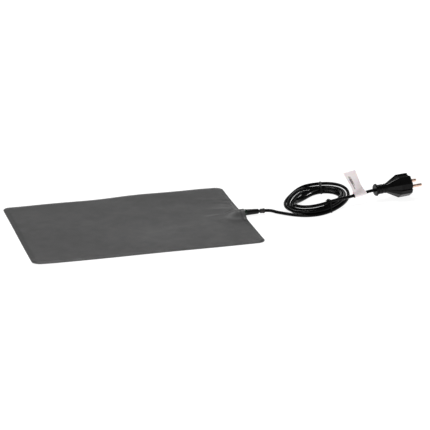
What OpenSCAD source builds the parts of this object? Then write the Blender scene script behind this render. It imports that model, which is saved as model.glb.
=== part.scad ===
// Seedling heat mat: a thin welded vinyl mat with a heating wire inside, a strain relief
// at the middle of one short edge, and a mains lead that lies coiled beside it.
// Frame: X along the mat's length towards the lead, Y across it, Z up. The origin is the
// middle of the mat's underside. Millimetres.

/* [Mat] */
// Length of the mat, along X
mat_length = 350; // [300:10:600]
// Width of the mat, along Y
mat_width = 250; // [200:10:400]
// Radius of the mat's corners
corner_radius = 12; // [6:1:20]
// Thickness of each vinyl cover
cover_thickness = 0.4; // [0.3:0.1:0.8]
// Width of the welded edge all round
weld_margin = 7; // [5:1:12]

/* [Inner layers] */
// Thickness of each fleece sheet
fleece_thickness = 0.3; // [0.2:0.1:0.6]
// Thickness of the aluminium heat spreader
foil_thickness = 0.1; // [0.1:0.05:0.2]
// Diameter of the heating wire over its insulation
wire_diameter = 0.7; // [0.6:0.1:1]
// Distance between neighbouring runs of the heating wire
wire_pitch = 16; // [12:1:20]

/* [Lead] */
// Diameter of the round mains lead
cord_diameter = 5; // [4.8:0.1:5.2]
// Height of the lead's axis where it leaves the mat
entry_height = 5; // [5:0.1:5.5]
// Distance of the lead's axis from the middle of the edge
entry_offset = -4; // [-10:1:10]
// Diameter of each insulated core of the lead
core_diameter = 1.8; // [1.6:0.1:2]

/* [Strain relief] */
// Diameter of the collar against the mat's edge
collar_diameter = 10; // [9:0.5:10]
// Largest diameter of the tapered sleeve
sleeve_diameter = 9.6; // [9:0.1:10]
// Length of the tapered sleeve in front of the collar
sleeve_length = 19; // [16:1:22]
// Diameter of the short tube at the tip
tip_diameter = 7; // [6.6:0.1:7.4]

/* [Plug] */
// Diameter of each round pin
pin_diameter = 4.8; // [4.8:0.1:4.8]
// Length of each pin in front of the plug's face
pin_length = 19; // [19:0.5:19]
// Distance between the pins' axes
pin_spacing = 19; // [19:0.5:19]
// Radius of the plug's body over its corners
plug_radius = 18; // [17.5:0.1:18.4]
// Diameter of the disc where the lead enters the plug
flange_diameter = 19.4; // [18:0.2:20]

/* [Hidden] */
$fn = 48;

// Heights of the mat's layers, from the table up
fleece_z = cover_thickness;
wire_z = fleece_z + fleece_thickness;
foil_z = wire_z + wire_diameter;
upper_z = foil_z + foil_thickness;
pocket_z = upper_z + fleece_thickness;
mat_z = pocket_z + cover_thickness;
pocket_margin = weld_margin + cover_thickness;

// The mat's edge, where the lead comes out
edge_x = mat_length / 2;
entry = [edge_x, entry_offset, entry_height];
cord_radius = cord_diameter / 2;

// The raised tent over the lead: its length inwards, and its half width at the edge
tent_length = 70;
tent_half = 22;
tent_tip_half = 6;
tent_radius = 5.6;
splice_height = 2.4;
splice_gap = 6.4;
splice_x = edge_x - 36;
crimp_length = 7;
crimp_diameter = 2.4;
sleeve_wall = 0.3;
splice_sleeve_length = 12;
jacket_end = edge_x - 20;
block_depth = 14;

// Heating wire: runs on each side of the middle, and where they turn
half_runs = 2 * floor((mat_width / 2 - 15 - wire_pitch / 2) / (2 * wire_pitch)) + 1;
turn_left = -edge_x + 27;
turn_right = edge_x - 20;
turn_middle = edge_x - 80;
link_x = -edge_x + 10;

// Strain relief, along the lead from the mat's edge
barrel_diameter = 8;
collar_start = 1;
collar_length = 3;
sleeve_start = collar_start + collar_length;
sleeve_end_diameter = 7.6;
groove_length = 3;
tip_length = 7;
tip_start = sleeve_start + sleeve_length + groove_length;
relief_end = tip_start + tip_length;
lip_start = 5;
lip_length = 1;
lip_diameter = 8;

// Plug: where the lead enters it, and how it lies
plug_at = [216.6, 15.1, 15.9];
plug_heading = 7.5;
plug_tilt = 2;
plug_roll = 5;
plug_axis = [cos(plug_tilt) * cos(plug_heading), cos(plug_tilt) * sin(plug_heading), sin(plug_tilt)];
flange_length = 2.6;
neck_diameter = 14.6;
neck_groove = [13, 15.5];
neck_groove_depth = 1;
neck_end = 18;
cone_end = 38.5;
plug_length = 58;
body_corners = [27, 68];
recess_half = 5;
recess_floor = 14.4;
guide_half = 1.5;
guide_depth = 2;
bridge_start = 46;
bridge_size = [5, 28, 9];
shank_start = 37;
shank_diameter = 4;
pin_chamfer = 1.2;
plug_cord_stop = 21;
core_gap = 2.4;

// The lead's free route, measured from the point on the table under the mat's exit.
// First stretch: from the strain relief to the coil.
lead_in_route = [
    [relief_end, 0, entry_height], [relief_end + 1, 0, entry_height], [40, -0.6, 4.7],
    [47, -3.4, 3.9], [53, -7.4, 3.1], [58, -11.8, 2.6], [63, -16.3, 2.5], [68, -20.5, 2.5]
];
// Last stretch: from the coil to the plug.
lead_out_route = [
    [166, 2.2, 10.2], [172, 5.8, 10.7], [179, 9, 11.5], [187, 11.5, 12.5], [195, 12.9, 13.5],
    [203, 13.7, 14.6], plug_at - 6 * plug_axis, plug_at
];

// Coil: an oval of five turns, turned on the table
coil_centre = [125, 23];
coil_angle = 45;
coil_outer = [70, 42];
coil_inner = [45, 28];
coil_height = 14;
coil_sides = 60;
stub_length = 14;

// Ties round the coil: their angles round the oval, outside and inside, and the band
tie_front_at = [248, 255];
tie_back_at = [35, 26];
tie_width = 2.6;
tie_thickness = 1;
tie_proud = 0.6;
tie_head = [4, 5, 2.4];

// Label: a strip of film folded round the lead, which leans back over the coil
label_at = [190.5, 12.1, 12.95];
label_heading = 11;
label_rise = 7;
label_width = 22;
label_height = 39.5;
label_shift = 13.4;
label_back = 12;
label_thickness = 0.5;
label_bore = 6.4;

function unit(v) = v / norm(v);
function tangent(route, i) =
    unit(route[min(i + 1, len(route) - 1)] - route[max(i - 1, 0)]);

// One closed tube of a given diameter along a list of points.
module tube(route, diameter, sides = 12) {
    rings = len(route);
    points = [
        for (i = [0 : rings - 1])
        let (t = tangent(route, i), s = unit(cross(t, [0, 0, 1])), u = cross(s, t))
        for (k = [0 : sides - 1])
        let (a = 360 * k / sides)
        route[i] + diameter / 2 * (cos(a) * s + sin(a) * u)
    ];
    walls = [
        for (i = [0 : rings - 2])
        for (k = [0 : sides - 1])
        let (a = i * sides + k, b = i * sides + (k + 1) % sides)
        [a, b, b + sides, a + sides]
    ];
    first = [for (k = [sides - 1 : -1 : 0]) k];
    last = [for (k = [0 : sides - 1]) (rings - 1) * sides + k];
    polyhedron(points, concat([first], walls, [last]), convexity = 6);
}

// A cylinder along X, from one x to another.
module rod(from, to, diameter) {
    translate([from, 0, 0])
    rotate([0, 90, 0])
    cylinder(h = to - from, d = diameter);
}

// A flat sheet with round corners, inset from the mat's edge.
module sheet(inset, low, high) {
    r = max(corner_radius - inset, 2);
    x = mat_length / 2 - inset - r;
    y = mat_width / 2 - inset - r;
    translate([0, 0, low])
    linear_extrude(high - low)
    union() {
        square([2 * x, 2 * (y + r)], center = true);
        square([2 * (x + r), 2 * y], center = true);
        for (sx = [-1, 1])
        for (sy = [-1, 1])
        translate([sx * x, sy * y])
        circle(r);
    }
}

// The tent over the lead, as a solid that is inset by a wall thickness.
module tent(inset) {
    r = tent_radius + cover_thickness - inset;
    intersection() {
        hull() {
            translate(entry)
            rod(-1, inset, 2 * r, $fn = 32);
            translate([edge_x - 1, entry_offset - tent_half + inset, cover_thickness])
            cube([1 + inset, 2 * (tent_half - inset), cover_thickness - inset + 0.05]);
            translate([edge_x - tent_length + inset, entry_offset - tent_tip_half, cover_thickness])
            cube([1, 2 * tent_tip_half, mat_z - cover_thickness - inset]);
        }
        translate([edge_x - tent_length, entry_offset - tent_half, cover_thickness])
        cube([2 * tent_length, 2 * tent_half, 20]);
    }
}

// The opening in the upper inner sheets that leaves room for the joints.
module entry_window() {
    translate([edge_x - tent_length - 2, entry_offset - tent_half - 2, 0])
    cube([tent_length + 2, 2 * tent_half + 4, 20]);
}

// The slab of space that the gland block fills.
module block_slab() {
    translate([edge_x - block_depth, entry_offset - tent_half, 0])
    cube([block_depth, 2 * tent_half, 20]);
}

module bottom_cover() {
    color("#3a3a3c")
    sheet(0, 0, cover_thickness);
}

module lower_fleece() {
    color("#d8d6cf")
    difference() {
        sheet(pocket_margin, fleece_z, wire_z);
        block_slab();
    }
}

module upper_fleece() {
    color("#d8d6cf")
    difference() {
        sheet(pocket_margin, upper_z, pocket_z);
        entry_window();
    }
}

module heat_spreader() {
    color("#c4c8cc")
    difference() {
        sheet(pocket_margin + 3, foil_z, upper_z);
        entry_window();
    }
}

module top_cover() {
    color("#47474a")
    difference() {
        union() {
            sheet(0, cover_thickness, 2 * cover_thickness);
            sheet(weld_margin, cover_thickness, mat_z);
            tent(0);
        }
        sheet(pocket_margin, 0, pocket_z);
        tent(cover_thickness);
    }
}

// Half of the heating wire: one run after another, from the middle to the side.
module wire_half(side) {
    last = half_runs - 1;
    for (i = [0 : last]) {
        y = side * wire_pitch * (i + 0.5);
        left = i == last ? link_x + wire_pitch / 2 : turn_left;
        right = i == 0 ? turn_middle : turn_right;
        goes_left = i % 2 == 0;
        translate([0, y, 0])
        rod(left, right, wire_diameter);
        if (i < last)
            translate([goes_left ? turn_left : turn_right, y + side * wire_pitch / 2, 0])
            bend(goes_left ? 90 : -90, 180);
    }
}

// A flat bend of the heating wire, from an angle and through an angle.
module bend(from, through) {
    rotate([0, 0, from])
    rotate_extrude(angle = through)
    translate([wire_pitch / 2, 0])
    circle(d = wire_diameter, $fn = 24);
}

// Where each end of the heating wire runs in under the tent and climbs to its joint.
function tail_route(side) = let (
    low = [turn_middle, side * wire_pitch / 2, wire_z + wire_diameter / 2],
    high = [splice_x - crimp_length / 2, entry_offset + side * splice_gap / 2, splice_height],
    aside = [turn_middle + 16, high.y, low.z]
) [low, low + [4, 0, 0], aside, aside + [3, 0, 0], high - [4, 0, 0], high];

// Where each core of the lead comes down to its joint.
function core_route(side) = let (
    high = [jacket_end, entry_offset + side * core_gap / 2, entry_height],
    low = [splice_x + crimp_length / 2, entry_offset + side * splice_gap / 2, splice_height]
) [high, high - [3, 0, 0], (high + low) / 2, low + [3, 0, 0], low];

module heating_wire() {
    link_half = wire_pitch * (half_runs - 1);
    color("#9c4a2c")
    union() {
        translate([0, 0, wire_z + wire_diameter / 2])
        union() {
            wire_half(-1);
            wire_half(1);
            translate([link_x, -link_half, 0])
            rotate([-90, 0, 0])
            cylinder(h = 2 * link_half, d = wire_diameter);
            for (side = [-1, 1])
            translate([link_x + wire_pitch / 2, side * link_half, 0])
            bend(side == 1 ? 90 : 180, 90);
        }
        for (side = [-1, 1])
        tube(tail_route(side), wire_diameter, 8);
    }
}

// A place on the axis of each joint between a core and the heating wire.
module at_splices() {
    for (side = [-1, 1])
    translate([splice_x, entry_offset + side * splice_gap / 2, splice_height])
    children();
}

module splice_crimps() {
    color("#c9ccd0")
    at_splices()
    rod(-crimp_length / 2, crimp_length / 2, crimp_diameter);
}

module splice_sleeves() {
    color("#1c1c1e")
    at_splices()
    difference() {
        rod(-splice_sleeve_length / 2, splice_sleeve_length / 2, crimp_diameter + 2 * sleeve_wall);
        rod(-splice_sleeve_length, splice_sleeve_length, crimp_diameter);
    }
}

module core_line() {
    color("#6b4630")
    tube(core_route(-1), core_diameter, 8);
}

module core_neutral() {
    color("#2f5f9e")
    tube(core_route(1), core_diameter, 8);
}

module gland_block() {
    color("#39393b")
    difference() {
        intersection() {
            tent(cover_thickness);
            block_slab();
        }
        translate(entry)
        rod(-block_depth - 1, 1, barrel_diameter);
    }
}

module cord_entry() {
    color("#161616")
    translate(entry)
    rod(jacket_end - edge_x, relief_end, cord_diameter);
}

module gland_collar() {
    color("#20241f")
    translate(entry)
    difference() {
        rod(collar_start, collar_start + collar_length, collar_diameter);
        rod(0, sleeve_start + 1, barrel_diameter);
    }
}

module strain_relief() {
    color("#1b1b1b")
    translate(entry)
    difference() {
        union() {
            rod(-block_depth, sleeve_start, barrel_diameter);
            translate([sleeve_start, 0, 0])
            rotate([0, 90, 0])
            cylinder(h = sleeve_length, d1 = sleeve_diameter, d2 = sleeve_end_diameter);
        }
        rod(-block_depth - 1, relief_end, cord_diameter);
    }
}

module relief_tip() {
    color("#262626")
    translate(entry + [tip_start, 0, 0])
    difference() {
        union() {
            rod(0, tip_length, tip_diameter);
            rod(lip_start, lip_start + lip_length, lip_diameter);
        }
        rod(-1, tip_length + 1, cord_diameter);
    }
}

// Puts a piece of the free lead where the route's points are measured from.
module beside_mat() {
    translate([edge_x, entry_offset, 0])
    children();
}

module lead_in() {
    color("#141414")
    beside_mat()
    tube(lead_in_route, cord_diameter);
}

module lead_out() {
    color("#141414")
    beside_mat()
    tube(lead_out_route, cord_diameter);
}

// A short straight piece of lead, from a point and along a direction.
module stub(from, direction) {
    translate(from)
    rotate([0, -asin(direction.z), atan2(direction.y, direction.x)])
    rod(0, stub_length, cord_diameter);
}

function on_oval(half_axes, at) = [half_axes.x * cos(at), half_axes.y * sin(at)];

module oval(half_axes) {
    polygon([
        for (i = [0 : coil_sides - 1])
        on_oval(half_axes, 360 * i / coil_sides)
    ]);
}

// The span across the bundle between two angles round the oval, the outside one first.
function across(at) = on_oval(coil_outer, at[0]) - on_oval(coil_inner, at[1]);

// Puts a piece in the middle of the bundle, with X across it.
module across_coil(at) {
    translate(coil_centre)
    rotate(coil_angle)
    translate((on_oval(coil_outer, at[0]) + on_oval(coil_inner, at[1])) / 2)
    rotate(atan2(across(at).y, across(at).x))
    children();
}

module tie_band(at) {
    width = norm(across(at)) + 2 * tie_proud;
    height = coil_height + tie_proud;
    across_coil(at)
    translate([0, 0, height / 2])
    difference() {
        cube([width, tie_width, height], center = true);
        cube([width - 2 * tie_thickness, tie_width + 1, height - 2 * tie_thickness], center = true);
    }
}

module cord_coil() {
    last = len(lead_in_route) - 1;
    color("#141414")
    beside_mat()
    difference() {
        union() {
            translate(coil_centre)
            rotate(coil_angle)
            linear_extrude(coil_height)
            difference() {
                oval(coil_outer);
                oval(coil_inner);
            }
            stub(lead_in_route[last], tangent(lead_in_route, last));
            stub(lead_out_route[0], -tangent(lead_out_route, 0));
        }
        tie_band(tie_front_at);
        tie_band(tie_back_at);
    }
}

module front_tie() {
    color("#0f0f0f")
    beside_mat()
    union() {
        tie_band(tie_front_at);
        across_coil(tie_front_at)
        translate([-norm(across(tie_front_at)) / 2, -tie_head.y / 2, coil_height + tie_proud])
        cube(tie_head);
    }
}

module back_tie() {
    color("#0f0f0f")
    beside_mat()
    tie_band(tie_back_at);
}

module label() {
    half = label_width / 2;
    color("#efe4e6")
    beside_mat()
    translate(label_at)
    rotate([0, -label_rise, label_heading])
    difference() {
        union() {
            rod(-half, half, label_bore + 2 * label_thickness);
            rotate([90 - label_back, 0, 0])
            linear_extrude(label_thickness, center = true)
            polygon([
                [-half, 0], [half, 0], [half - label_shift, label_height - 1],
                [-half - label_shift, label_height + 1]
            ]);
        }
        rod(-label_width, label_width, label_bore);
    }
}

// Puts a piece in the plug's own frame: X from the lead's end to the pins, Y along the pins' line.
module in_plug() {
    beside_mat()
    translate(plug_at)
    rotate([plug_roll, -plug_tilt, plug_heading])
    children();
}

// One quarter of the body's outline, from the guide groove at the side to the recess on top.
body_quarter = [
    [plug_radius - guide_depth, guide_half], [plug_radius, guide_half],
    for (a = body_corners) plug_radius * [cos(a), sin(a)],
    [recess_half, plug_radius * sin(body_corners[1])], [recess_half, recess_floor]
];
function backwards(list) = [for (i = [len(list) - 1 : -1 : 0]) list[i]];
function flipped(list, x, y) = [for (p = list) [x * p.x, y * p.y]];
body_outline = concat(
    body_quarter, backwards(flipped(body_quarter, -1, 1)),
    flipped(body_quarter, -1, -1), backwards(flipped(body_quarter, 1, -1))
);

// The body's cross-section, drawn across the plug and pushed along it.
module body_slab(from, to) {
    translate([from, 0, 0])
    rotate([90, 0, 90])
    linear_extrude(to - from)
    polygon(body_outline);
}

function plug_core_route(side) = [
    [plug_cord_stop, side * core_gap / 2, 0], [plug_cord_stop + 3, side * core_gap / 2, 0],
    [(plug_cord_stop + shank_start) / 2, side * (pin_spacing + core_gap) / 4, 0],
    [shank_start - 3, side * pin_spacing / 2, 0], [shank_start, side * pin_spacing / 2, 0]
];

module pin_shape(side) {
    tip = plug_length + pin_length;
    translate([0, side * pin_spacing / 2, 0])
    union() {
        rod(shank_start, plug_length, shank_diameter);
        rod(plug_length, tip - pin_chamfer, pin_diameter);
        translate([tip - pin_chamfer, 0, 0])
        rotate([0, 90, 0])
        cylinder(h = pin_chamfer, d1 = pin_diameter, d2 = pin_diameter - 1.4 * pin_chamfer);
    }
}

module bridge_block() {
    translate([bridge_start, -bridge_size.y / 2, -bridge_size.z / 2])
    cube(bridge_size);
}

module plug_body() {
    color("#171717")
    in_plug()
    difference() {
        union() {
            rod(0, flange_length, flange_diameter);
            rod(flange_length, neck_groove[0], neck_diameter);
            rod(neck_groove[0], neck_groove[1], neck_diameter - 2 * neck_groove_depth);
            rod(neck_groove[1], neck_end, neck_diameter);
            hull() {
                rod(neck_end, neck_end + 0.5, neck_diameter, $fn = 32);
                body_slab(cone_end - 0.5, cone_end);
            }
            body_slab(cone_end, plug_length);
        }
        rod(-1, plug_cord_stop, cord_diameter);
        for (side = [-1, 1]) {
            tube(plug_core_route(side), core_diameter, 8);
            translate([0, side * pin_spacing / 2, 0])
            rod(shank_start, plug_length + 1, shank_diameter);
        }
        bridge_block();
    }
}

module pin_bridge() {
    color("#d9d5c8")
    in_plug()
    difference() {
        bridge_block();
        for (side = [-1, 1])
        translate([0, side * pin_spacing / 2, 0])
        rod(bridge_start - 1, bridge_start + bridge_size.x + 1, shank_diameter);
    }
}

module pin_line() {
    color("#d3a58c")
    in_plug()
    pin_shape(-1);
}

module pin_neutral() {
    color("#d3a58c")
    in_plug()
    pin_shape(1);
}

module plug_core_line() {
    color("#6b4630")
    in_plug()
    tube(plug_core_route(-1), core_diameter, 8);
}

module plug_core_neutral() {
    color("#2f5f9e")
    in_plug()
    tube(plug_core_route(1), core_diameter, 8);
}

module plug_cord_end() {
    color("#161616")
    in_plug()
    rod(0, plug_cord_stop, cord_diameter);
}

bottom_cover();
lower_fleece();
heating_wire();
heat_spreader();
upper_fleece();
top_cover();
gland_block();
splice_crimps();
splice_sleeves();
core_line();
core_neutral();
cord_entry();
gland_collar();
strain_relief();
relief_tip();
lead_in();
cord_coil();
lead_out();
front_tie();
back_tie();
label();
plug_body();
pin_bridge();
pin_line();
pin_neutral();
plug_core_line();
plug_core_neutral();
plug_cord_end();
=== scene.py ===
"""The look of a seedling heat mat: a welded vinyl mat, a strain relief and a coiled mains lead with a plug.

Lengths are in millimetres until they go into a mesh. Frame: X along the mat towards the lead,
Y across it, Z up, with the origin in the middle of the mat's underside.
"""

import math

import bpy
import numpy as np
from mathutils import Matrix, Vector


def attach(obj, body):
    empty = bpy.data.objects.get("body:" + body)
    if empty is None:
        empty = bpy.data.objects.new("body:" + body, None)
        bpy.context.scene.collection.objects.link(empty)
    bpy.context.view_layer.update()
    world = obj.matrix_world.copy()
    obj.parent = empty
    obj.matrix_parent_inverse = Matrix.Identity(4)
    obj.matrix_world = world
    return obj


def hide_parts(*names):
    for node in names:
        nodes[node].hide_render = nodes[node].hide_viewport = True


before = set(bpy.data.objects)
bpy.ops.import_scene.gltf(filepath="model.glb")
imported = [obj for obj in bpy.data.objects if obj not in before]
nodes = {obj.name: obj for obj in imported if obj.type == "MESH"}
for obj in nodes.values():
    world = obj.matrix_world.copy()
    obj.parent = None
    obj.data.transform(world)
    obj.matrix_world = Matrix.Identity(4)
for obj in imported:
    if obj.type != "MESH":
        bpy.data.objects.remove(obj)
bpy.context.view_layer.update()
MM = 0.001

# ---------------------------------------------------------------- sizes, as in the CAD model
HALF_LENGTH, HALF_WIDTH, CORNER = 175.0, 125.0, 12.0
COVER = 0.4
WELD = 7.0
WIRE_Z, UPPER_Z, POCKET_Z, MAT_Z = 0.7, 1.5, 1.8, 2.2
WIRE_RADIUS, WIRE_PITCH, HALF_RUNS = 0.35, 16.0, 7
ENTRY = np.array([HALF_LENGTH, -4.0, 5.0])
CORD_RADIUS = 2.5
COIL_CENTRE, COIL_ANGLE = np.array([300.0, 19.0]), math.radians(45)
COIL_OUTER, COIL_WIDTH = (70.0, 42.0), (25.0, 14.0)
PLUG_AT = np.array([391.6, 11.1, 15.9])
PLUG_ROLL, PLUG_TILT, PLUG_HEADING = math.radians(5), math.radians(2), math.radians(7.5)
PLUG_LENGTH, PLUG_RADIUS, CONE_END = 58.0, 18.0, 38.5
LABEL_AT = np.array([365.5, 8.1, 12.95])
LABEL_BACK = math.radians(12)
LABEL_WIDTH, LABEL_HEIGHT, LABEL_SHIFT = 22.0, 39.5, 13.4

# ---------------------------------------------------------------- sizes of this scene only
# The sheets inside the mat are a little smaller than their CAD solids, to stay under the sloping rim.
RIM_CLEARANCE = 1.4
SHEET_INSET = WELD + COVER + RIM_CLEARANCE
FOIL_INSET = SHEET_INSET + 2
# What is cut out of the foil and the upper fleece over the joints: low x, low y and high y.
JOINT_WINDOW = (103, -28, 20)

# ---------------------------------------------------------------- camera
camera = bpy.data.objects.new("camera", bpy.data.cameras.new("camera"))
bpy.context.scene.collection.objects.link(camera)
bpy.context.scene.camera = camera
camera.data.lens = 181.8
camera.data.sensor_width = 36
camera.data.clip_start, camera.data.clip_end = 0.1, 20
camera.location = (-0.69877, -2.99429, 1.13482)
look = Vector((0.1334, 0.0105, 0)) - camera.location
camera.rotation_euler = look.to_track_quat("-Z", "Y").to_euler()


# ---------------------------------------------------------------- helpers
def smooth(value, low, high):
    """0 below low and 1 above high, with a smooth step between them."""
    share = np.clip((value - low) / (high - low), 0, 1)
    return share * share * (3 - 2 * share)


def add_object(name, data, body="root"):
    made = bpy.data.objects.new(name, data)
    bpy.context.scene.collection.objects.link(made)
    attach(made, body)
    return made


def add_mesh(name, points, faces, material, sharp=None):
    """A mesh from points in millimetres. Its edges stay sharp where they turn by more than sharp degrees."""
    mesh = bpy.data.meshes.new(name)
    mesh.from_pydata([tuple(p * MM) for p in np.asarray(points, float)], [], faces)
    mesh.validate()
    mesh.shade_smooth()
    if sharp:
        mesh.set_sharp_from_angle(angle=math.radians(sharp))
    mesh.materials.append(material)
    return add_object(name, mesh)


def applied(made, sharp=None):
    """The object with its modifiers made part of its mesh."""
    shape = made.evaluated_get(bpy.context.evaluated_depsgraph_get())
    mesh = bpy.data.meshes.new_from_object(shape)
    made.modifiers.clear()
    made.data = mesh
    mesh.shade_smooth()
    if sharp:
        mesh.set_sharp_from_angle(angle=math.radians(sharp))
    return made


def bevelled(made, width, segments=3, angle=30):
    """Rounds the object's edges that turn by more than the angle, in degrees."""
    bevel = made.modifiers.new("bevel", "BEVEL")
    bevel.width = width * MM
    bevel.segments = segments
    bevel.limit_method = "ANGLE"
    bevel.angle_limit = math.radians(angle)
    bevel.harden_normals = True
    return made


def turned(name, profile, material, start, steps=48, sharp=50):
    """A piece turned about X through start, from (distance along it, radius) pairs round its section."""
    points = [
        start + np.array([x, r * math.cos(a), r * math.sin(a)])
        for a in np.linspace(0, 2 * math.pi, steps, endpoint=False)
        for x, r in profile
    ]
    n = len(profile)
    faces = [
        (i * n + k, ((i + 1) % steps) * n + k, ((i + 1) % steps) * n + (k + 1) % n, i * n + (k + 1) % n)
        for i in range(steps)
        for k in range(n)
    ]
    return add_mesh(name, points, faces, material, sharp)


# ---------------------------------------------------------------- materials
class Nodes:
    """A Principled material, and short ways to add nodes to it."""

    def __init__(self, name):
        self.material = bpy.data.materials.new(name)
        self.material.use_nodes = True
        self.tree = self.material.node_tree
        self.shader = self.tree.nodes["Principled BSDF"]
        self.place = self.add("ShaderNodeTexCoord").outputs["Object"]

    def add(self, kind, links=(), **settings):
        node = self.tree.nodes.new(kind)
        for key, value in settings.items():
            setattr(node, key, value)
        for socket, source in dict(links).items():
            if isinstance(source, bpy.types.NodeSocket):
                self.tree.links.new(source, node.inputs[socket])
            else:
                node.inputs[socket].default_value = source
        return node

    def noise(self, size, detail=3.0, rough=0.5, place=None, distortion=0.0):
        """Noise whose lumps are about size millimetres across."""
        links = {
            "Vector": place or self.place,
            "Scale": 1 / (size * MM),
            "Detail": detail,
            "Roughness": rough,
            "Distortion": distortion,
        }
        return self.add("ShaderNodeTexNoise", links).outputs["Fac"]

    def math(self, operation, a, b=0.0, c=0.0):
        return self.add("ShaderNodeMath", {0: a, 1: b, 2: c}, operation=operation).outputs[0]

    def spread(self, source, low, high, out_low, out_high):
        """Maps source from one range to another, and holds it there."""
        links = {
            "Value": source,
            "From Min": low,
            "From Max": high,
            "To Min": out_low,
            "To Max": out_high,
        }
        return self.add("ShaderNodeMapRange", links).outputs["Result"]

    def mix(self, share, first, second):
        node = self.add("ShaderNodeMix", data_type="RGBA")
        for socket, source in ((0, share), (6, first), (7, second)):
            if isinstance(source, bpy.types.NodeSocket):
                self.tree.links.new(source, node.inputs[socket])
            else:
                node.inputs[socket].default_value = source
        return node.outputs[2]

    def bump(self, height, depth, below=None, strength=1.0):
        """A bump of depth millimetres, on top of another bump."""
        links = {"Height": height, "Distance": depth * MM, "Strength": strength}
        if below is not None:
            links["Normal"] = below
        return self.add("ShaderNodeBump", links).outputs["Normal"]

    def shade(self, **inputs):
        for name, source in inputs.items():
            socket = self.shader.inputs[name.replace("_", " ")]
            if isinstance(source, bpy.types.NodeSocket):
                self.tree.links.new(source, socket)
            else:
                socket.default_value = source
        return self.material


def rgb(r, g, b):
    return (r, g, b, 1.0)


def moulded(name, dark, light, roughness, grain=0.5, depth=0.01, mottle=9.0, metallic=0.0, gloss_level=0.5):
    """Moulded plastic, rubber or plain metal: faint mottling, fine grain and uneven gloss."""
    n = Nodes(name)
    tone = n.spread(n.noise(mottle, 4, 0.6), 0.3, 0.7, 0, 1)
    gloss = n.spread(n.noise(mottle / 3, 3, 0.6), 0.3, 0.7, *roughness)
    grainy = n.bump(n.noise(grain, 2), depth)
    return n.shade(
        Base_Color=n.mix(tone, rgb(*dark), rgb(*light)),
        Roughness=gloss,
        Normal=grainy,
        Metallic=metallic,
        Specular_IOR_Level=gloss_level,
    )


def vinyl(name, dark, light):
    """Matte calendered vinyl: fine grain, soft large waves, rubbed lighter patches and one broad painted
    sheen.

    It is darker towards the end that is away from the lead: painted shade, where the sheen is missing.
    """
    n = Nodes(name)
    patches = n.spread(n.noise(75, 3, 0.55, distortion=0.6), 0.35, 0.68, 0, 1)
    rubbed = n.spread(n.noise(16, 5, 0.65), 0.5, 0.75, 0, 0.35)
    # Painted sheen: a broad lighter patch round a place in the middle of the mat, in uneven lumps.
    flat = n.add("ShaderNodeMapping", {"Vector": n.place, "Location": (-0.5, 0.7, 0), "Scale": (9.5, 17, 0)})
    far = n.add("ShaderNodeVectorMath", {0: flat.outputs[0]}, operation="LENGTH").outputs["Value"]
    uneven = n.spread(n.noise(22, 4, 0.6), 0.3, 0.7, 0.4, 1)
    painted_sheen = n.math("MULTIPLY", n.spread(far, 0.1, 1.3, 0.6, 0), uneven)
    # Painted shade: the colour darkens towards the end away from the lead.
    lengthwise = n.add("ShaderNodeSeparateXYZ", {"Vector": n.place}).outputs[0]
    painted_far_shade = n.spread(lengthwise, -0.16, 0.02, -0.45, 0)
    # tone sums the random patches and rubbed marks with the painted sheen and the painted shade.
    tone = n.math("ADD", n.math("ADD", n.math("MULTIPLY", patches, 0.6), rubbed), n.math("ADD", painted_sheen, painted_far_shade))
    waves = n.bump(n.noise(34, 2, 0.4), 0.2)
    dents = n.bump(n.noise(9, 2, 0.5), 0.035, waves)
    grain = n.bump(n.noise(0.55, 2, 0.6), 0.03, dents)
    return n.shade(
        Base_Color=n.mix(tone, rgb(*dark), rgb(*light)),
        Roughness=n.spread(n.noise(24, 4, 0.6), 0.3, 0.7, 0.46, 0.56),
        Normal=grain,
        Specular_IOR_Level=0.25,
    )


def fleece_material():
    """Needled white fibre."""
    n = Nodes("fleece")
    stretch = n.add("ShaderNodeMapping", {"Vector": n.place, "Scale": (1, 6, 1)}).outputs[0]
    fibres = n.noise(2.2, 6, 0.75, stretch, 1.5)
    return n.shade(
        Base_Color=n.mix(fibres, rgb(0.55, 0.54, 0.5), rgb(0.86, 0.85, 0.81)),
        Roughness=0.95,
        Normal=n.bump(fibres, 0.12),
        Sheen_Weight=0.3,
    )


def foil_material():
    """Crinkled aluminium foil."""
    n = Nodes("foil")
    cells = n.add("ShaderNodeTexVoronoi", {"Vector": n.place, "Scale": 160.0, "Randomness": 1.0})
    crinkle = n.bump(cells.outputs["Distance"], 0.12)
    return n.shade(
        Base_Color=n.mix(n.noise(12), rgb(0.72, 0.73, 0.75), rgb(0.88, 0.88, 0.9)),
        Metallic=1.0,
        Roughness=n.spread(n.noise(5), 0.3, 0.7, 0.22, 0.38),
        Normal=n.bump(n.noise(3, 4), 0.05, crinkle),
    )


def jacket_material(name, tone):
    """An extruded cord jacket: fine grain, faint dull patches and a soft gloss."""
    n = Nodes(name)
    dull = n.spread(n.noise(14, 4, 0.6), 0.3, 0.7, 0, 1)
    return n.shade(
        Base_Color=n.mix(dull, rgb(tone, tone, tone * 1.04), rgb(tone * 1.9, tone * 1.9, tone * 1.95)),
        Specular_IOR_Level=0.075,
        Roughness=n.spread(n.noise(6, 3), 0.3, 0.7, 0.17, 0.26),
        Normal=n.bump(n.noise(1.6, 2, 0.5), 0.006),
    )


def pin_material():
    """Plated pins, with fine turning marks round them."""
    n = Nodes("pin")
    axis = Vector(plug_matrix.col[0][:3])
    along = n.add("ShaderNodeVectorMath", {0: n.place, 1: axis}, operation="DOT_PRODUCT").outputs["Value"]
    fine = {"W": n.math("MULTIPLY", along, 5200.0), "Scale": 1.0, "Detail": 2.0}
    rings = n.add("ShaderNodeTexNoise", fine, noise_dimensions="1D")
    return n.shade(
        Base_Color=n.mix(n.noise(4, 4), rgb(0.78, 0.5, 0.38), rgb(0.9, 0.66, 0.54)),
        Metallic=1.0,
        Roughness=n.spread(n.noise(2.5, 3), 0.3, 0.7, 0.2, 0.34),
        Normal=n.bump(rings.outputs["Fac"], 0.01),
    )


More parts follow.
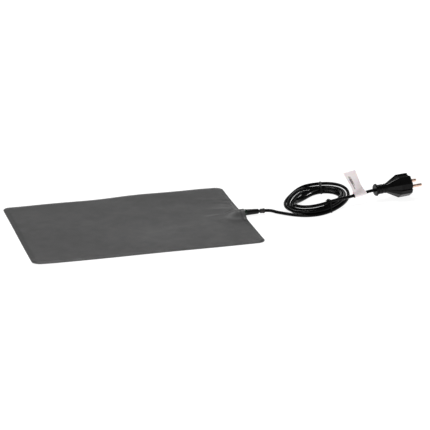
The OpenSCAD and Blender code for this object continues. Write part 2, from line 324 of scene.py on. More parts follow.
def label_material():
    """Pale film with plain bars down one side. Its UV map is in millimetres: across, then up the flag."""
    n = Nodes("label_film")
    uv = n.add("ShaderNodeUVMap", uv_map="print").outputs["UV"]
    across, up, _ = (n.add("ShaderNodeSeparateXYZ", {"Vector": uv}).outputs[k] for k in range(3))

    def inside(value, low, high):
        return n.math("MULTIPLY", n.math("GREATER_THAN", value, low), n.math("LESS_THAN", value, high))

    def bars(low, high, pitch, share, start, end):
        dash = n.math("LESS_THAN", n.math("FRACT", n.math("DIVIDE", up, pitch)), share)
        column = n.math("MULTIPLY", inside(across, low, high), inside(up, start, end))
        return n.math("MULTIPLY", dash, column)

    marks = n.math("MAXIMUM", bars(4.4, 6.8, 1.7, 0.72, 10, 32), bars(7.2, 8.8, 2.3, 0.55, 16, 31))
    marks = n.math("MAXIMUM", marks, bars(4.0, 8.4, 3.1, 0.7, 20, 28))
    # Painted shade: the film is greyed in mottled patches low down where it wraps round the lead, and along a
    # thin line at the fold where its ends meet.
    dents = n.spread(n.noise(1.8, 4, 0.6), 0.42, 0.62, 0, 0.45)
    painted_wrap_shade = n.math("MULTIPLY", n.spread(up, 6.5, 9.5, 1, 0), dents)
    painted_crease_shade = n.math("MULTIPLY", inside(up, 8.2, 8.9), 0.5)
    worn = n.math("MULTIPLY", marks, n.spread(n.noise(2.5, 3), 0.3, 0.7, 0.8, 1.0))
    film = n.mix(n.noise(11, 3), rgb(0.97, 0.79, 0.79), rgb(1.0, 0.87, 0.86))
    film = n.mix(n.math("MAXIMUM", painted_wrap_shade, painted_crease_shade), film, rgb(0.72, 0.59, 0.61))
    return n.shade(
        Base_Color=n.mix(worn, film, rgb(0.12, 0.09, 0.09)),
        Roughness=n.spread(n.noise(6), 0.3, 0.7, 0.28, 0.42),
        Normal=n.bump(n.noise(7, 3), 0.12),
        Subsurface_Weight=0.15,
        Subsurface_Scale=0.002,
    )


def floor_material():
    """A plain white studio floor that is lit from below."""
    n = Nodes("studio_floor")
    return n.shade(
        Base_Color=n.mix(n.noise(60), rgb(0.19, 0.19, 0.19), rgb(0.21, 0.21, 0.21)),
        Roughness=0.9,
        Specular_IOR_Level=0.2,
        Emission_Color=rgb(1, 1, 1),
        Emission_Strength=0.9,
    )


# ---------------------------------------------------------------- the mains lead
# One line down the middle of the lead. The coil's stations are (angle round the oval in
# degrees, counted on through five turns; depth in from the outside of the bundle; height).
LEAD_IN = [
    (208, -4, 5),
    (215, -4.6, 4.7),
    (222, -7.4, 3.9),
    (228, -11.4, 3.1),
    (233, -15.8, 2.6),
    (238, -20.3, 2.5),
    (243, -24.5, 2.5),
    (252, -30.6, 2.5),
]
TURNS = [
    (200, 2.5, 2.5), (250, 2.5, 2.5), (290, 2.5, 2.5), (305, 1.5, 4), (320, 0.5, 7), (335, 0, 9.6),
    (357, 0.6, 10.8), (380, 2.4, 10.9), (400, 4.4, 11.2), (430, 3, 11.6), (455, 2.5, 11.6),
    (475, 2.5, 9), (500, 2.5, 6.6),
    (525, 2.8, 6.2), (560, 4.9, 6.8), (610, 4.9, 6.9), (645, 6, 7), (675, 8.4, 7.2), (705, 9, 7.4),
    (735, 7.6, 7.4), (755, 4, 7), (780, 4, 9.6), (810, 7.6, 12.4), (830, 7.6, 10.5), (855, 7.5, 6.6),
    (880, 7.3, 3.2), (915, 7.6, 2.5), (970, 7.6, 2.5), (1000, 8.5, 2.5), (1050, 9, 2.5), (1080, 9.6, 2.5),
    (1112, 8.4, 2.5), (1140, 9, 5), (1165, 11.5, 9.6), (1190, 12.4, 7.6), (1215, 12.4, 5),
    (1240, 11.2, 7), (1275, 10.2, 8.8), (1330, 10.4, 9.2), (1365, 12.5, 7.6), (1395, 14, 7.2),
    (1425, 14, 7), (1455, 12, 6.9), (1475, 11, 6.9), (1500, 11.2, 7), (1525, 12.5, 6.4), (1550, 14.5, 4),
    (1575, 14.5, 2.6), (1605, 12.9, 2.5), (1640, 12.4, 2.5), (1690, 12.7, 2.5), (1730, 14.5, 2.5),
    (1770, 16, 2.5), (1800, 16, 2.5), (1832, 16.5, 2.5), (1865, 17.5, 2.5), (1890, 16.5, 2.5),
    (1915, 15, 3.2), (1938, 15.5, 6.2), (1962, 12, 9.8), (1990, 9, 12.8), (2020, 11, 13.6),
    (2044, 11.4, 13.8),
]
LEAD_OUT = [
    (320, -9.8, 13.8),
    (331, -5.2, 13.4),
    (341, -1.2, 12.6),
    (347, 1.9, 12),
    (354, 4.6, 11.5),
    (362, 7, 12.6),
    (370, 8.4, 13.8),
    (378, 9.4, 14.9),
]
COIL_FULLNESS = 2.12
COIL_STEP = 18
LEAD_STEP = 6.0
# Bends with a smaller radius than this are eased. The finished lead still has some that are tighter.
EASED_BEND = 25.0


def bundle_width(angle):
    """How wide the bundle is at an angle in degrees round the oval."""
    c, s = math.cos(math.radians(angle)), math.sin(math.radians(angle))
    return math.hypot(COIL_WIDTH[0] * c, COIL_WIDTH[1] * s)


def in_coil(angle, depth, height):
    """A place in the bundle, at an angle in degrees round the oval and a depth in from its outside."""
    c, s = math.cos(math.radians(angle)), math.sin(math.radians(angle))
    share = depth / bundle_width(angle)
    full = 2 / COIL_FULLNESS
    x = (0.99 * COIL_OUTER[0] - COIL_WIDTH[0] * share) * math.copysign(abs(c) ** full, c)
    y = (0.99 * COIL_OUTER[1] - COIL_WIDTH[1] * share) * math.copysign(abs(s) ** full, s)
    c, s = math.cos(COIL_ANGLE), math.sin(COIL_ANGLE)
    return np.array([COIL_CENTRE[0] + x * c - y * s, COIL_CENTRE[1] + x * s + y * c, height])


def curve_through(points, parts):
    """A smooth line through points, with that many parts between neighbours."""
    p = np.asarray(points, float)
    p = np.vstack([2 * p[0] - p[1], p, 2 * p[-1] - p[-2]])
    made = [
        0.5 * (2 * b + (c - a) * u + (2 * a - 5 * b + 4 * c - d) * u**2 + (3 * b - a - 3 * c + d) * u**3)
        for a, b, c, d in zip(p, p[1:], p[2:], p[3:])
        for u in np.arange(parts) / parts
    ]
    return np.array([*made, p[-2]])


def respaced(line, step):
    """The line again, in equal steps of about that length."""
    along = np.concatenate([[0], np.cumsum(np.linalg.norm(np.diff(line, axis=0), axis=1))])
    at = np.linspace(0, along[-1], round(along[-1] / step) + 1)
    return np.stack([np.interp(at, along, line[:, k]) for k in range(3)], axis=1)


def settled(line, diameter, rounds):
    """Moves the turns of a lead apart until none lies inside another, and eases its tightest bends.

    The lead stays on the table, and its ends stay in place.
    """
    line = line.copy()
    free = slice(4, -3)
    step = np.linalg.norm(line[1] - line[0])
    index = np.arange(len(line))
    apart = np.abs(index[:, None] - index) > 3 * diameter / step + 1
    for _ in range(rounds):
        heading = np.gradient(line, axis=0)
        heading /= np.linalg.norm(heading, axis=1)[:, None]
        gap = line[:, None] - line
        along = (gap * heading).sum(2)
        gap -= along[..., None] * heading
        size = np.linalg.norm(gap, axis=2) + 1e-9
        close = apart & (np.abs(along) <= 0.75 * step) & (size < diameter)
        push = np.where(close, 0.25 * (diameter - size) / size, 0)[..., None] * gap
        move = np.clip(push.sum(1) - push.sum(0), -0.5, 0.5)
        bend = np.zeros_like(line)
        bend[1:-1] = line[:-2] + line[2:] - 2 * line[1:-1]
        tight = np.clip(EASED_BEND * np.linalg.norm(bend, axis=1) / step**2 - 1, 0, 0.5)
        tight = np.maximum(tight, 0.6 * np.maximum(np.roll(tight, 1), np.roll(tight, -1)))
        ease = 0.3 * tight[:, None] * bend
        held = np.zeros_like(bend)
        held[free] = bend[free]
        stiff = np.zeros_like(line)
        stiff[2:-2] = held[1:-3] + held[3:-1] - 2 * held[2:-2]
        line -= 0.05 * stiff
        line[free] += move[free] + ease[free]
        line[free, 2] = np.maximum(line[free, 2], CORD_RADIUS)
    return line


def lead_line():
    angles, depths, heights = np.array(TURNS, float).T
    at = np.arange(angles[0], angles[-1], COIL_STEP)
    ease = [eased(at, angles, values) for values in (depths, heights)]
    coil = [in_coil(*place) for place in zip(at, *ease)]
    end = PLUG_AT - 6 * PLUG_AXIS
    rough = curve_through([*LEAD_IN, *coil, *LEAD_OUT, end, PLUG_AT], 10)
    return settled(respaced(rough, LEAD_STEP), 2 * CORD_RADIUS + 0.1, 240)


def eased(at, xs, ys):
    """ys between the xs, with a smooth step from each to the next."""
    i = np.clip(np.searchsorted(xs, at, side="right") - 1, 0, len(xs) - 2)
    return ys[i] + (ys[i + 1] - ys[i]) * smooth(at, xs[i], xs[i + 1])


plug_matrix = (
    Matrix.Translation(Vector(PLUG_AT))
    @ Matrix.Rotation(PLUG_HEADING, 4, "Z")
    @ Matrix.Rotation(-PLUG_TILT, 4, "Y")
    @ Matrix.Rotation(PLUG_ROLL, 4, "X")
)
PLUG_AXIS = np.array(plug_matrix.col[0][:3])
lead_points = lead_line()


def add_lead():
    curve = bpy.data.curves.new("mains_lead", "CURVE")
    curve.dimensions = "3D"
    curve.resolution_u = 3
    curve.bevel_depth = CORD_RADIUS * MM
    curve.bevel_resolution = 5
    curve.use_fill_caps = True
    spline = curve.splines.new("BEZIER")
    spline.bezier_points.add(len(lead_points) - 1)
    for knot, place in zip(spline.bezier_points, lead_points):
        knot.co = place * MM
        knot.handle_left_type = knot.handle_right_type = "AUTO"
    curve.materials.append(jacket_material("cord_jacket", 0.0015))
    return add_object("mains_lead", curve)


# ---------------------------------------------------------------- the mat
# Folds of the upper cover: from, to, height and half width.
FOLDS = [
    ((175, 6), (150, 52), 2.4, 5.0),
    ((173, 22), (160, 58), 1.7, 4.0),
    ((174, 44), (140, 66), 1.0, 4.2),
    ((174, 66), (118, 78), 0.6, 5.5),
    ((162, 10), (118, 36), 0.8, 4.5),
    ((150, -22), (108, -38), 0.3, 7.0),
    ((84, -33), (34, -43), 0.35, 8.0),
]


def edge_distance(x, y):
    """How far a place is inside the mat's outline."""
    over_x, over_y = np.abs(x) - (HALF_LENGTH - CORNER), np.abs(y) - (HALF_WIDTH - CORNER)
    outside = np.hypot(np.maximum(over_x, 0), np.maximum(over_y, 0))
    return CORNER - outside - np.minimum(np.maximum(over_x, over_y), 0)


def lift(x, y):
    """How high the mat stands off the table: a soft curl of its back edge, and a slight one in front."""
    back = 1.9 * smooth(y, 60, 125) * smooth(x, -40, 50) * (1 - 0.4 * smooth(x, 130, 175))
    wave = 0.25 * smooth(y, 95, 125) * (1 + np.sin(x / 21))
    front = 0.5 * smooth(-y, 95, 125) * (1 + 0.4 * np.sin(x / 30 + 1))
    left = 0.5 * smooth(-x, 140, 175) * (1 + 0.5 * np.sin(y / 24))
    return back + wave + front + left


def bump_across(y, middle, front, back):
    """1 in the middle and 0 at a half width in front of it and behind it, rounded."""
    away = np.clip(np.abs(y - middle) / np.where(y < middle, front, back), 0, 1)
    return 0.5 + 0.5 * np.cos(math.pi * away)


def tent(x, y):
    """The rise of the cover over the lead's end: a ridge that drifts back, and a low rise over the joints."""
    inward = HALF_LENGTH - x
    ridge = 8.6 * (1 - smooth(inward, -15, 58))
    crest = -4 + 20.5 * smooth(inward, -2, 30)
    wider = smooth(inward, 0, 30)
    ridge = ridge * bump_across(y, crest, 20 + 10 * wider, 24 + 14 * wider)
    barrel = 7.8 * (1 - smooth(inward, 13, 42)) * bump_across(y, ENTRY[1], 21, 15)
    joints = 2.7 * (1 - smooth(inward, 42, 66)) * bump_across(y, ENTRY[1], 19, 14)
    return (ridge**4 + barrel**4 + joints**4) ** 0.25


def folds(x, y):
    """The height of the cover's folds: each a low ridge that widens and curves a little along its length."""
    total = np.zeros_like(x)
    for (x1, y1), (x2, y2), height, half in FOLDS:
        long = math.hypot(x2 - x1, y2 - y1)
        ux, uy = (x2 - x1) / long, (y2 - y1) / long
        along = (x - x1) * ux + (y - y1) * uy
        across = (x - x1) * -uy + (y - y1) * ux + 0.06 * (along - long / 2) ** 2 / long
        width = half * (0.7 + 0.6 * np.clip(along / long, 0, 1))
        ends = smooth(along, -4, 8) * (1 - smooth(along, 0.55 * long, 1.1 * long))
        total += height * ends * np.exp(-((across / width) ** 2))
    return total


def cover_top(x, y):
    """Height of the upper cover's outer face."""
    inside = edge_distance(x, y)
    mouth = 1 - smooth(np.hypot(x - HALF_LENGTH, y + 4), 16, 26)
    front = smooth(-y, HALF_WIDTH - 22, HALF_WIDTH - 10)
    raised = smooth(inside, 0.3, 8.7 - 4.6 * front)
    weld_line = 0.07 * np.exp(-(((inside - 5.2) / 0.5) ** 2))
    flat = 2 * COVER + (MAT_Z - 2 * COVER) * np.maximum(raised, 0.6 * mouth) - weld_line
    loose = smooth(inside, 0.5, 9)
    hill = tent(x, y) * np.maximum(loose, mouth)
    return flat + hill + folds(x, y) * loose + lift(x, y)


def grid_lines(half, fine_low, fine_high, extra=()):
    """Places of a grid's lines: close together at both edges, and between two places."""
    edge = [0, 0.4, 1.2, 2.4, 3.6, 4.2, 4.6, 5.0, 5.8, 6.6, 7.4, 8.4, 9.6, 11, 12.5, 14.5]
    inner = half - edge[-1]
    coarse = [v for v in np.arange(-inner, inner, 5) if not fine_low < v < fine_high]
    fine = [v for v in np.arange(fine_low, min(fine_high, inner), 2)]
    ends = [half - e for e in edge] + [e - half for e in edge]
    found = sorted({round(float(v), 3) for v in [*coarse, *fine, *extra, inner, *ends]})
    kept = [found[0]]
    for v in found[1:]:
        if v - kept[-1] > 0.3 or v in extra:
            kept.append(v)
    return np.array(kept)


def mat_layer(name, inset, height, thickness, material, window=None):
    """One sheet of the mat as a closed thin piece. height gives its upper face.

    window is (low x, low y, high y): what is cut out of it, up to the end where the lead goes in.
    """
    extra_x = [window[0]] if window else []
    extra_y = list(window[1:]) if window else []
    xs = grid_lines(HALF_LENGTH - inset, 86, 162, extra_x)
    ys = grid_lines(HALF_WIDTH - inset, -42, 92, extra_y)
    x, y = (v.ravel() for v in np.meshgrid(xs, ys, indexing="ij"))
    corner = max(CORNER - inset, 2)
    over_x = (np.abs(x) - (HALF_LENGTH - inset - corner)) / corner
    over_y = (np.abs(y) - (HALF_WIDTH - inset - corner)) / corner
    round_it = (over_x > 0) & (over_y > 0)
    round_x = over_x * np.sqrt(np.maximum(1 - over_y**2 / 2, 0)) * corner + HALF_LENGTH - inset - corner
    round_y = over_y * np.sqrt(np.maximum(1 - over_x**2 / 2, 0)) * corner + HALF_WIDTH - inset - corner
    x = np.where(round_it, np.sign(x) * round_x, x)
    y = np.where(round_it, np.sign(y) * round_y, y)
    points = np.stack([x, y, height(x, y)], axis=1)
    faces = []
    for i in range(len(xs) - 1):
        for j in range(len(ys) - 1):
            mid_x, mid_y = (xs[i] + xs[i + 1]) / 2, (ys[j] + ys[j + 1]) / 2
            if window and mid_x > window[0] and window[1] < mid_y < window[2]:
                continue
            a, b = i * len(ys) + j, (i + 1) * len(ys) + j
            faces.append((a, b, b + 1, a + 1))
    made = add_mesh(name, points, faces, material)
    solid = made.modifiers.new("thickness", "SOLIDIFY")
    solid.thickness = thickness * MM
    solid.offset = -1
    solid.use_even_offset = False
    return applied(made, 60)


def wire_line():
    """The heating wire, from one joint to the other, round both halves of the mat."""
    turn_left, turn_right, turn_middle, link_x = -148.0, 155.0, 95.0, -165.0
    radius = WIRE_PITCH / 2

    def bend(x, y, start, through):
        angles = np.radians(np.linspace(start, start + through, 13))
        return [(x + radius * math.cos(a), y + radius * math.sin(a)) for a in angles]

    def half(side):
        flat = []
        for i in range(HALF_RUNS):
            y = WIRE_PITCH * (i + 0.5)
            last = i == HALF_RUNS - 1
            left = link_x + radius if last else turn_left
            right = turn_middle if i == 0 else turn_right
            run = [(x, y) for x in np.linspace(right, left, 16)]
            flat += run if i % 2 == 0 else run[::-1]
            if not last and i % 2 == 0:
                flat += bend(left, y + radius, -90, -180)[1:-1]
            elif not last:
                flat += bend(right, y + radius, -90, 180)[1:-1]
        flat += bend(link_x + radius, y - radius, 90, 90)[1:]
        joint_y = ENTRY[1] + side * 3.2
        tail = [(135.5, joint_y, 2.4), (131.5, joint_y, 2.4), (114, joint_y, 1.05), (111, joint_y, 1.05)]
        tail.append((103, (joint_y + side * WIRE_PITCH / 2) / 2, 1.05))
        centre = WIRE_Z + WIRE_RADIUS
        return tail + [(x, side * y, centre + lift(x, side * y)) for x, y in flat]

    return np.array(half(-1) + half(1)[::-1])


def add_wire():
    curve = bpy.data.curves.new("heating_wire_run", "CURVE")
    curve.dimensions = "3D"
    curve.bevel_depth = WIRE_RADIUS * MM
    curve.bevel_resolution = 2
    curve.use_fill_caps = True
    spline = curve.splines.new("POLY")
    path = wire_line()
    spline.points.add(len(path) - 1)
    for knot, place in zip(spline.points, path):
        knot.co = (*(place * MM), 1)
    curve.materials.append(moulded("wire_insulation", (0.32, 0.09, 0.04), (0.46, 0.16, 0.08), (0.35, 0.5)))
    return add_object("heating_wire_run", curve)


def add_gland_filler(material):
    """The vinyl that fills the tent's mouth round the relief, with a soft rounded face."""
    xs = np.array([161, 164, 168, 171, 173.2, 174.4, 175.0, 175.3])
    drop = np.array([0, 0, 0, 0, 0, 0.1, 0.5, 1.4])
    ys = np.arange(-25, 18.1, 1.5)
    points, n = [], len(ys)
    for x, low in zip(xs, drop):
        inner = np.minimum(x, HALF_LENGTH)
        top = np.maximum(cover_top(np.full(n, inner), ys) - COVER - 0.02 - low, 0.5)
        points += [(x, y, z) for y, z in zip(ys, top)]
        points += [(x, y, 0.42) for y in ys]
    faces = []
    for i in range(len(xs) - 1):
        a, b = 2 * n * i, 2 * n * (i + 1)
        for j in range(n - 1):
            faces.append((a + j, b + j, b + j + 1, a + j + 1))
            faces.append((a + n + j + 1, b + n + j + 1, b + n + j, a + n + j))
        faces.append((a, a + n, b + n, b))
        faces.append((a + n - 1, b + n - 1, b + 2 * n - 1, a + 2 * n - 1))
    for base, flip in ((0, False), (2 * n * (len(xs) - 1), True)):
        for j in range(n - 1):
            quad = (base + j, base + j + 1, base + n + j + 1, base + n + j)
            faces.append(quad[::-1] if flip else quad)
    return add_mesh("gland_filler", points, faces, material, 50)


# ---------------------------------------------------------------- the strain relief
def rounded(profile, radius, parts=4):
    """A closed outline with each corner rounded."""
    p = [np.array(v, float) for v in profile]
    made = []
    for i, corner in enumerate(p):
        before, after = p[i - 1] - corner, p[(i + 1) % len(p)] - corner
        reach = min(radius, 0.45 * np.linalg.norm(before), 0.45 * np.linalg.norm(after))
        a = corner + before / np.linalg.norm(before) * reach
        b = corner + after / np.linalg.norm(after) * reach
        for u in np.linspace(0, 1, parts):
            made.append((1 - u) ** 2 * a + 2 * u * (1 - u) * corner + u**2 * b)
    return made


def add_relief():
    """The collar, the tapered sleeve, the short tip with its lip, and the rim of the tent's mouth."""
    black = moulded(
        "relief_rubber", (0.003, 0.003, 0.003), (0.008, 0.008, 0.008), (0.28, 0.4), 0.4, 0.012, 9, 0.0, 0.14
    )
    tinted = moulded(
        "relief_collar", (0.004, 0.010, 0.006), (0.008, 0.020, 0.012), (0.2, 0.3), 0.5, 0.01, 9, 0.0, 0.3
    )
    grey = moulded(
        "relief_tip", (0.012, 0.011, 0.01), (0.022, 0.02, 0.019), (0.3, 0.42), 0.4, 0.012, 9, 0.0, 0.22
    )
    collar = turned("gland_collar_ring", rounded([(1, 4), (1, 5), (4, 5), (4, 4)], 0.6), tinted, ENTRY)
    sleeve = turned(
        "strain_relief_sleeve",
        rounded([(-14, 2.5), (-14, 4), (4, 4), (4, 4.7), (23, 3.8), (23, 2.5)], 0.5),
        black,
        ENTRY,
    )
    tip_profile = [(26, 2.5), (26, 3.5), (31, 3.5), (31.1, 4), (31.9, 4), (32.1, 3.5), (33, 3.4), (33, 2.5)]
    tip = turned("relief_tip_ring", rounded(tip_profile, 0.3), grey, ENTRY)
    # The lip is the cover's own vinyl curled round the relief; its light grey is a painted highlight along
    # the curled edge.
    lip = turned(
        "gland_lip",
        rounded([(-0.3, 4.02), (-0.3, 4.8), (0.5, 4.95), (1.0, 4.6), (1.0, 4.02)], 0.3),
        moulded("gland_lip", (0.16, 0.16, 0.165), (0.24, 0.24, 0.245), (0.4, 0.5)),
        ENTRY,
    )
    return collar, sleeve, tip, lip


# ---------------------------------------------------------------- the ties
def tie_section(outer_angle, inner_angle):
    """A tie's upright plane: its start, its direction, its normal, and where the lead crosses it."""
    start = in_coil(inner_angle, bundle_width(inner_angle), 0)
    end = in_coil(outer_angle, 0, 0)
    span = np.linalg.norm(end - start)
    across = (end - start) / span
    normal = np.array([-across[1], across[0], 0])
    fine = respaced(lead_points, 0.5)
    side = (fine - start) @ normal
    found = []
    for i in np.flatnonzero(side[:-1] * side[1:] <= 0):
        place = (fine[i] + fine[i + 1]) / 2
        along = (place - start) @ across
        if -8 < along < span + 8:
            found.append((along, place[2]))
    return start, across, normal, found


def loop_round(discs, radius):
    """The band's path: the shortest loop round discs of that radius, as points."""
    angles = np.radians(np.arange(0, 360, 12))
    rims = [(x + radius * math.cos(a), max(z + radius * math.sin(a), 0.05)) for x, z in discs for a in angles]
    cloud = sorted({(round(x, 5), round(z, 5)) for x, z in rims})

    def bends_in(a, b, c):
        return (b[0] - a[0]) * (c[1] - a[1]) <= (b[1] - a[1]) * (c[0] - a[0])

    def chain(points):
        kept = []
        for p in points:
            while len(kept) > 1 and bends_in(kept[-2], kept[-1], p):
                kept.pop()
            kept.append(p)
        return kept[:-1]

    return np.array(chain(cloud) + chain(cloud[::-1]))


def add_tie(name, outer_angle, inner_angle, material, head):
    """A tie's band round the turns of the lead, with a head and a tail if head is true."""
    start, across, normal, discs = tie_section(outer_angle, inner_angle)
    inner, width, thickness = loop_round(discs, CORD_RADIUS + 0.05), 2.6, 0.9
    middle = inner.mean(axis=0)
    outer = np.array([p + thickness * (p - middle) / np.linalg.norm(p - middle) for p in inner])
    outer[:, 1] = np.maximum(outer[:, 1], 0.0)
    up = np.array([0, 0, 1])
    points, n = [], len(inner)
    for ring, side in ((inner, -1), (outer, -1), (outer, 1), (inner, 1)):
        points += [start + s * across + z * up + side * width / 2 * normal for s, z in ring]
    faces = [
        (r * n + i, r * n + (i + 1) % n, ((r + 1) % 4) * n + (i + 1) % n, ((r + 1) % 4) * n + i)
        for r in range(4)
        for i in range(n)
    ]
    tie = add_mesh(name, points, faces, material, 40)
    if head:
        top = outer[np.argmax(outer[:, 1] - 0.25 * outer[:, 0])]
        place = start + (top[0] - 0.5) * across + (top[1] - 0.8) * up - 2.4 * normal
        add_block(name + "_head", place, (across, normal, up), (4.2, 4.6, 2.6), material)
        end = place - 0.9 * up - 2.6 * normal
        add_block(name + "_tail", end, (across, normal, up), (2.2, 3.2, 1.2), material)
    return tie


def add_block(name, place, axes, size, material):
    """A small block with well rounded edges."""
    corners = [(x, y, z) for x in (-0.5, 0.5) for y in (-0.5, 0.5) for z in (-0.5, 0.5)]
    points = [place + sum(c * s * a for c, s, a in zip(corner, size, axes)) for corner in corners]
    faces = [(0, 1, 3, 2), (4, 6, 7, 5), (0, 4, 5, 1), (2, 3, 7, 6), (0, 2, 6, 4), (1, 5, 7, 3)]
    return bevelled(add_mesh(name, points, faces, material), 0.5, 3)


# ---------------------------------------------------------------- the label
def add_label():
    """A strip of film folded round the lead, with its two ends stuck together as a flag that leans back."""
    fine = respaced(lead_points, 0.5)
    nearest = int(np.argmin(np.linalg.norm(fine - LABEL_AT, axis=1)))
    middle = fine[nearest - 16 : nearest + 17].mean(axis=0)
    heading = fine[nearest + 16] - fine[nearest - 16]
    yaw, rise = math.atan2(heading[1], heading[0]), math.atan2(heading[2], math.hypot(heading[0], heading[1]))
    turn = Matrix.Rotation(yaw, 3, "Z") @ Matrix.Rotation(-rise, 3, "Y")
    lean = np.array(turn @ Vector((0, math.sin(LABEL_BACK), math.cos(LABEL_BACK))))
    along = np.array(turn @ Vector((1, 0, 0)))
    thick = np.cross(along, lean)
    wrap, join, layer = 3.4, 7.5, 0.14
    path = [(-layer, h) for h in np.linspace(LABEL_HEIGHT, join, 18)]
    spread = 0.98 * (wrap - layer)
    path += [(-layer - spread * smooth(join - h, 0, join), h) for h in np.linspace(join, 1, 6)[1:]]
    path += [(-wrap * math.cos(a), -1.1 * wrap * math.sin(a)) for a in np.radians(np.linspace(0, 180, 15))]
    path += [(-s, h) for s, h in path[:23][::-1]]
    columns = np.linspace(-0.5, 0.5, 11)
    points, prints = [], []
    for side, height in path:
        up = max(height, 0) / LABEL_HEIGHT
        curl = 1.6 * up**2
        for c in columns:
            twist = math.radians(14) * smooth(up, 0.03, 0.3) * (1 - smooth(up, 0.4, 1.0))
            x = 0.97 * c * LABEL_WIDTH * math.cos(twist) - LABEL_SHIFT * up**1.05
            bow = 0.8 * up * math.cos(c * 2.6) + curl
            away = c * LABEL_WIDTH * math.sin(twist) - side - bow
            points.append(middle + x * along + height * lean + away * -thick)
            prints.append(((c + 0.5) * LABEL_WIDTH, height))
    n = len(columns)
    faces = [
        (i * n + k, i * n + k + 1, (i + 1) * n + k + 1, (i + 1) * n + k)
        for i in range(len(path) - 1)
        for k in range(n - 1)
    ]
    label = add_mesh("cord_label", points, faces, label_material())
    layer_uv = label.data.uv_layers.new(name="print")
    for loop in label.data.loops:
        layer_uv.data[loop.index].uv = prints[loop.vertex_index]
    solid = label.modifiers.new("thickness", "SOLIDIFY")
    solid.thickness = 0.12 * MM
    solid.offset = 0
    return applied(label, 60)


# ---------------------------------------------------------------- the plug
def plug_outline():
    """The body's outline across the plug, from the guide groove at the side to the recess on top."""
    corners = [(PLUG_RADIUS * math.cos(a), PLUG_RADIUS * math.sin(a)) for a in np.radians([27, 68])]
    quarter = [(16.0, 1.5), (PLUG_RADIUS, 1.5), *corners, (5.0, 16.69), (5.0, 15.2)]
    upper = quarter + [(-y, z) for y, z in quarter[::-1]]
    return np.array(upper + [(-y, -z) for y, z in upper])


def add_plug():
    """The plug's faceted body and its ribbed neck with the flange."""
    dark, light = (0.0015, 0.0015, 0.0015), (0.004, 0.004, 0.004)
    black = moulded("plug_moulding", dark, light, (0.18, 0.28), 0.45, 0.008, 14, 0.0, 0.15)
    outline = plug_outline()
    heading = np.arctan2(outline[:, 1], outline[:, 0])
    ring = np.stack([np.cos(heading), np.sin(heading)], axis=1)
    sections = [
        (18.0, 7.3 * ring),
        (20.5, 0.9 * 7.3 * ring + 0.1 * outline),
        (CONE_END, outline),
        (53.0, outline),
        (PLUG_LENGTH, outline * 0.985),
    ]
    points = [(x, y, z) for x, section in sections for y, z in section]
    n = len(outline)
    faces = [
        (i * n + k, i * n + (k + 1) % n, (i + 1) * n + (k + 1) % n, (i + 1) * n + k)
        for i in range(len(sections) - 1)
        for k in range(n)
    ]
    faces.append(tuple(range(n))[::-1])
    faces.append(tuple(range((len(sections) - 1) * n, len(sections) * n)))
    body = add_mesh("plug_shell", points, faces, black)
    place_in_plug(body)
    bevelled(body, 0.45, 3, 18)
    neck_profile = [
        (0, 2.6), (0, 8.5), (0.3, 9.0), (0.8, 9.0), (1.1, 8.0), (1.3, 9.3), (1.6, 9.7), (2.2, 9.7),
        (2.7, 9.0), (3.0, 6.6), (4.4, 6.6), (4.9, 7.5), (8.4, 7.5), (8.8, 6.7), (9.4, 6.7), (9.8, 7.5),
        (12.8, 7.5), (13.3, 6.3), (15.0, 6.3), (15.6, 7.4), (18.6, 7.6), (18.6, 2.6),
    ]
    neck = turned("plug_neck", rounded(neck_profile, 0.3), black, np.zeros(3), 56, 60)
    place_in_plug(neck)
    return body, neck


def place_in_plug(made):
    """Puts a piece that was made in the plug's own frame where the plug lies."""
    scale = Matrix.Scale(MM, 4)
    made.data.transform(scale @ plug_matrix @ scale.inverted())


# ---------------------------------------------------------------- everything in its place
lead = add_lead()
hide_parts("lead_in", "cord_coil", "lead_out")

mat_vinyl = vinyl("cover_top", (0.0315, 0.0315, 0.0315), (0.056, 0.056, 0.056))
under_vinyl = vinyl("cover_bottom", (0.038, 0.038, 0.039), (0.056, 0.056, 0.057))
fleece = fleece_material()
foil = foil_material()
top = mat_layer("mat_top", 0, cover_top, COVER, mat_vinyl)
bottom = mat_layer("mat_bottom", 0, lambda x, y: COVER + lift(x, y), COVER, under_vinyl)
lower_sheet = mat_layer(
    "fleece_lower", SHEET_INSET, lambda x, y: WIRE_Z + lift(x, y), 0.3, fleece, (161, -26, 18)
)
foil_sheet = mat_layer("foil_sheet", FOIL_INSET, lambda x, y: UPPER_Z + lift(x, y), 0.1, foil, JOINT_WINDOW)
upper_sheet = mat_layer(
    "fleece_upper", SHEET_INSET, lambda x, y: POCKET_Z - 0.02 + lift(x, y), 0.28, fleece, JOINT_WINDOW
)
wire = add_wire()
filler = add_gland_filler(mat_vinyl)
for piece, node, slot in (
    (top, "top_cover", "cover_top"),
    (bottom, "bottom_cover", "cover_bottom"),
    (lower_sheet, "lower_fleece", "fleece"),
    (foil_sheet, "heat_spreader", "foil"),
    (upper_sheet, "upper_fleece", "fleece"),
    (wire, "heating_wire", "wire_insulation"),
    (filler, "gland_block", "gland_vinyl"),
):
    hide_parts(node)

collar, sleeve, tip, lip = add_relief()
for piece, node, slot in (
    (collar, "gland_collar", "collar"),
    (sleeve, "strain_relief", "relief"),
    (tip, "relief_tip", "relief_tip"),
):
    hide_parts(node)

tie_plastic = moulded(
    "tie", (0.004, 0.004, 0.004), (0.008, 0.008, 0.008), (0.35, 0.5), 0.4, 0.008, 9, 0.0, 0.2
)
front_tie = add_tie("front_tie_band", 248, 255, tie_plastic, True)
back_tie = add_tie("back_tie_band", 35, 26, tie_plastic, False)
label = add_label()
plug, neck = add_plug()
for piece, node, slot in (
    (front_tie, "front_tie", "tie"),
    (back_tie, "back_tie", "tie"),
    (label, "label", "label_film"),
    (plug, "plug_body", "plug_moulding"),
):
    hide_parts(node)

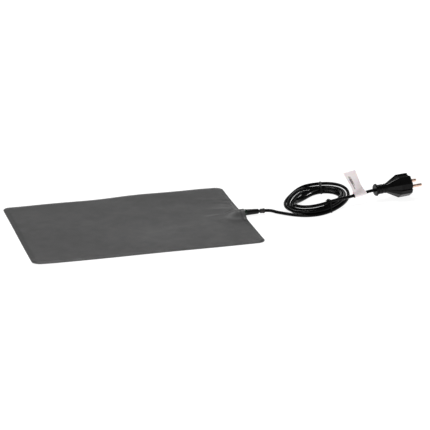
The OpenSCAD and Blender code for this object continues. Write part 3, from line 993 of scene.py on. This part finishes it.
CAD_MATERIALS = {
    # cord_entry is the same black cord as the lead, made lighter: a painted highlight where it shows in the
    # gap between the sleeve and the tip.
    "cord_entry": jacket_material("cord_entry_jacket", 0.02),
    "plug_cord_end": jacket_material("plug_cord_jacket", 0.004),
    "pin_line": pin_material(),
    "splice_crimps": moulded("crimp", (0.6, 0.6, 0.62), (0.75, 0.75, 0.77), (0.25, 0.4), 0.4, 0.02, 4, 1.0),
    "splice_sleeves": moulded(
        "shrink_tube", (0.015, 0.015, 0.016), (0.03, 0.03, 0.032), (0.4, 0.55), 0.8, 0.03
    ),
    "core_line": moulded("core_brown", (0.15, 0.06, 0.03), (0.24, 0.11, 0.05), (0.35, 0.5)),
    "core_neutral": moulded("core_blue", (0.03, 0.10, 0.30), (0.05, 0.16, 0.42), (0.35, 0.5)),
    "pin_bridge": moulded("bridge", (0.60, 0.58, 0.52), (0.72, 0.70, 0.64), (0.45, 0.6), 0.5, 0.02),
}
CAD_MATERIALS["pin_neutral"] = CAD_MATERIALS["pin_line"]
CAD_MATERIALS["plug_core_line"] = CAD_MATERIALS["core_line"]
CAD_MATERIALS["plug_core_neutral"] = CAD_MATERIALS["core_neutral"]
for name, material in CAD_MATERIALS.items():
    nodes[name].data.materials.clear()
    nodes[name].data.materials.append(material)

# ---------------------------------------------------------------- floor and light
floor_mesh = bpy.data.meshes.new("studio_floor")
floor_mesh.from_pydata([(-6, -6, 0), (6, -6, 0), (6, 6, 0), (-6, 6, 0)], [], [(0, 1, 2, 3)])
floor_mesh.materials.append(floor_material())
floor = bpy.data.objects.new("studio_floor", floor_mesh)
bpy.context.scene.collection.objects.link(floor)


def add_softbox(name, place, aim, size, power, colour=(1, 1, 1)):
    light = bpy.data.lights.new(name, "AREA")
    light.shape = "RECTANGLE"
    light.size, light.size_y = size
    light.energy = power
    light.color = colour
    lamp = bpy.data.objects.new(name, light)
    bpy.context.scene.collection.objects.link(lamp)
    lamp.location = place
    lamp.rotation_euler = (Vector(aim) - Vector(place)).to_track_quat("-Z", "Y").to_euler()
    return lamp


add_softbox("overhead", (0.1, 0.9, 1.7), (0.15, 0.0, 0.0), (1.3, 0.35), 32)
add_softbox("back", (0.5, 2.3, 0.5), (0.1, 0, 0.0), (2.4, 0.4), 4)
add_softbox("front", (-0.6, -2.4, 0.9), (0.3, 0, 0.0), (1.6, 1.0), 26)

world = bpy.data.worlds.new("studio")
bpy.context.scene.world = world
world.use_nodes = True
tree = world.node_tree
sky = tree.nodes.new("ShaderNodeTexCoord")
parts = tree.nodes.new("ShaderNodeSeparateXYZ")
fade = tree.nodes.new("ShaderNodeMapRange")
fade.interpolation_type = "SMOOTHSTEP"
tree.links.new(sky.outputs["Generated"], parts.inputs[0])
tree.links.new(parts.outputs["Z"], fade.inputs["Value"])
tree.links.new(fade.outputs["Result"], tree.nodes["Background"].inputs["Strength"])
for socket, value in (("From Min", 0.03), ("From Max", 0.3), ("To Min", 0.95), ("To Max", 0.12)):
    fade.inputs[socket].default_value = value
tree.nodes["Background"].inputs["Color"].default_value = (1, 1, 1, 1)
bpy.context.scene.view_settings.view_transform = "Standard"
bpy.context.scene.view_settings.look = "None"
